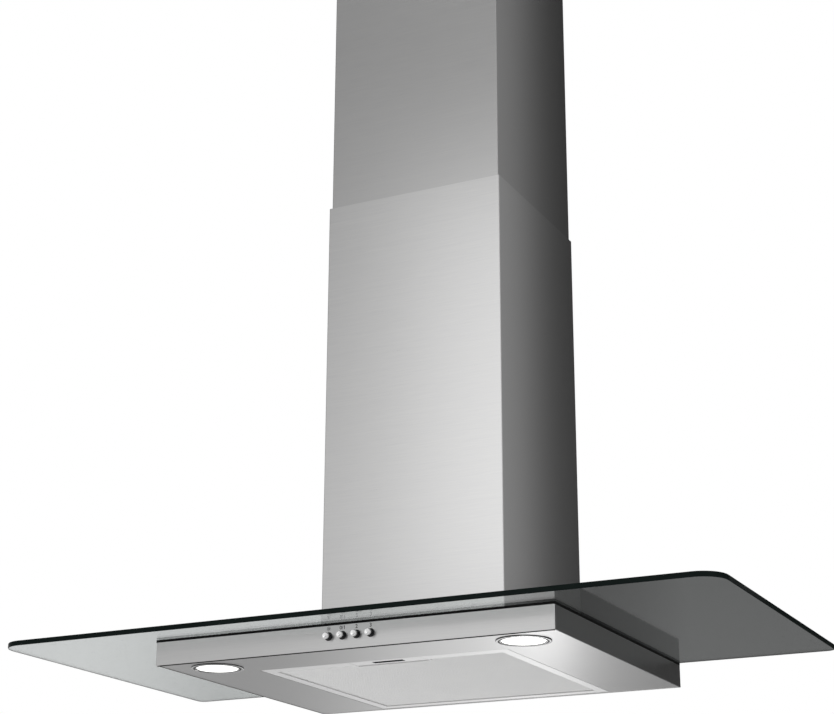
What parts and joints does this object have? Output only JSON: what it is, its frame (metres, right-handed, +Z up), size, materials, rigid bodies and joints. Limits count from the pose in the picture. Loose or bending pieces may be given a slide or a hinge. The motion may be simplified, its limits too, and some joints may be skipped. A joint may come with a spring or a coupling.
{
  "type": "wall range hood",
  "caption": "Wall chimney range hood: flat glass canopy on a slim steel box with filter, two lamps and push buttons, and a telescopic steel chimney.",
  "frame": {"origin": "on the wall plane at the canopy underside, on the centre plane", "axes": "+X to the right as seen from the front, +Y back into the wall, +Z up the chimney"},
  "size_m": [0.898, 0.45, 1.0217],
  "materials": {
    "canopy_glass": "clear toughened glass, polished edges",
    "black_rubber": "matt black rubber",
    "brushed_steel": "brushed stainless steel",
    "zinc_plate": "bright zinc plate",
    "white_plastic": "white moulded plastic",
    "filter_aluminium": "natural aluminium",
    "spring_steel": "bright spring wire",
    "black_plastic": "black moulded plastic",
    "grey_plastic": "grey plastic",
    "galvanised_steel": "galvanised sheet",
    "motor_paint": "dark grey painted steel",
    "frosted_glass": "frosted glass",
    "chrome_plate": "satin chrome"
  },
  "bodies": {
    "hood": {"glass_canopy": "canopy_glass", "glass_gasket": "black_rubber", "canopy_frame": "brushed_steel", "underside_panel": "brushed_steel", "support_plate": "zinc_plate", "glass_bolts": "zinc_plate", "glass_bushes": "white_plastic", "switch_block": "black_plastic", "button_bushes": "black_plastic", "blower_casing": "galvanised_steel", "wall_plate": "galvanised_steel", "scroll_left": "white_plastic", "scroll_right": "white_plastic", "motor_body": "motor_paint", "motor_bracket": "galvanised_steel", "outlet_collar": "black_plastic", "damper_spindle": "zinc_plate", "terminal_box": "black_plastic", "supply_gland": "grey_plastic", "motor_capacitor": "white_plastic", "lamp_transformer": "black_plastic", "wiring_harness": "grey_plastic", "lower_chimney": "brushed_steel", "chimney_glides": "white_plastic", "left_lamp_trim": "brushed_steel", "left_lamp_lens": "frosted_glass", "left_lamp_reflector": "chrome_plate", "left_lamp_bulb": "frosted_glass", "left_lamp_socket": "white_plastic", "right_lamp_trim": "brushed_steel", "right_lamp_lens": "frosted_glass", "right_lamp_reflector": "chrome_plate", "right_lamp_bulb": "frosted_glass", "right_lamp_socket": "white_plastic", "lamp_button_spring": "spring_steel", "speed_1_spring": "spring_steel", "speed_2_spring": "spring_steel", "speed_3_spring": "spring_steel"},
    "chimney_top": {"upper_chimney": "brushed_steel", "ceiling_bracket": "galvanised_steel", "bracket_screws": "zinc_plate"},
    "filter": {"filter_frame": "filter_aluminium", "filter_front_mesh": "filter_aluminium", "filter_core": "filter_aluminium", "filter_back_mesh": "filter_aluminium", "filter_pivot_pins": "zinc_plate", "filter_latch_springs": "spring_steel"},
    "latch": {"filter_latch": "filter_aluminium"},
    "fan": {"impeller": "black_plastic", "impeller_shaft": "zinc_plate"},
    "flap_front": {"damper_flap_front": "black_plastic"},
    "flap_rear": {"damper_flap_rear": "black_plastic"},
    "lamp_key": {"lamp_button": "chrome_plate", "lamp_button_stem": "black_plastic"},
    "speed_1_key": {"speed_1_button": "chrome_plate", "speed_1_stem": "black_plastic"},
    "speed_2_key": {"speed_2_button": "chrome_plate", "speed_2_stem": "black_plastic"},
    "speed_3_key": {"speed_3_button": "chrome_plate", "speed_3_stem": "black_plastic"}
  },
  "joints": [
    {"name": "chimney_slide", "type": "slide", "parent": "hood", "child": "chimney_top", "axis": [0, 0, 1], "range_m": [-0.37, 0.08]},
    {"name": "filter_hinge", "type": "hinge", "parent": "hood", "child": "filter", "pos_m": [0, -0.0105, 0.004], "axis": [1, 0, 0], "range_deg": [0, 75]},
    {"name": "latch_slide", "type": "slide", "parent": "filter", "child": "latch", "axis": [0, 1, 0], "range_m": [0, 0.006], "stiffness_N_per_m": 300, "springref_m": -0.003, "deforming": ["filter_latch_springs"]},
    {"name": "lamp_press", "type": "slide", "parent": "hood", "child": "lamp_key", "axis": [0, 1, 0], "range_m": [0, 0.004], "stiffness_N_per_m": 300, "springref_m": -0.003, "deforming": ["lamp_button_spring"]},
    {"name": "speed_1_press", "type": "slide", "parent": "hood", "child": "speed_1_key", "axis": [0, 1, 0], "range_m": [0, 0.004], "stiffness_N_per_m": 300, "springref_m": -0.003, "deforming": ["speed_1_spring"]},
    {"name": "speed_2_press", "type": "slide", "parent": "hood", "child": "speed_2_key", "axis": [0, 1, 0], "range_m": [0, 0.004], "stiffness_N_per_m": 300, "springref_m": -0.003, "deforming": ["speed_2_spring"]},
    {"name": "speed_3_press", "type": "slide", "parent": "hood", "child": "speed_3_key", "axis": [0, 1, 0], "range_m": [0, 0.004], "stiffness_N_per_m": 300, "springref_m": -0.003, "deforming": ["speed_3_spring"]},
    {"name": "impeller_spin", "type": "hinge", "parent": "hood", "child": "fan", "pos_m": [0, -0.1056, 0.1435], "axis": [1, 0, 0], "continuous": true},
    {"name": "damper_front_hinge", "type": "hinge", "parent": "hood", "child": "flap_front", "pos_m": [0, -0.144, 0.3014], "axis": [-1, 0, 0], "range_deg": [0, 75]},
    {"name": "damper_rear_hinge", "type": "hinge", "parent": "hood", "child": "flap_rear", "pos_m": [0, -0.144, 0.3014], "axis": [1, 0, 0], "range_deg": [0, 75]}
  ]
}
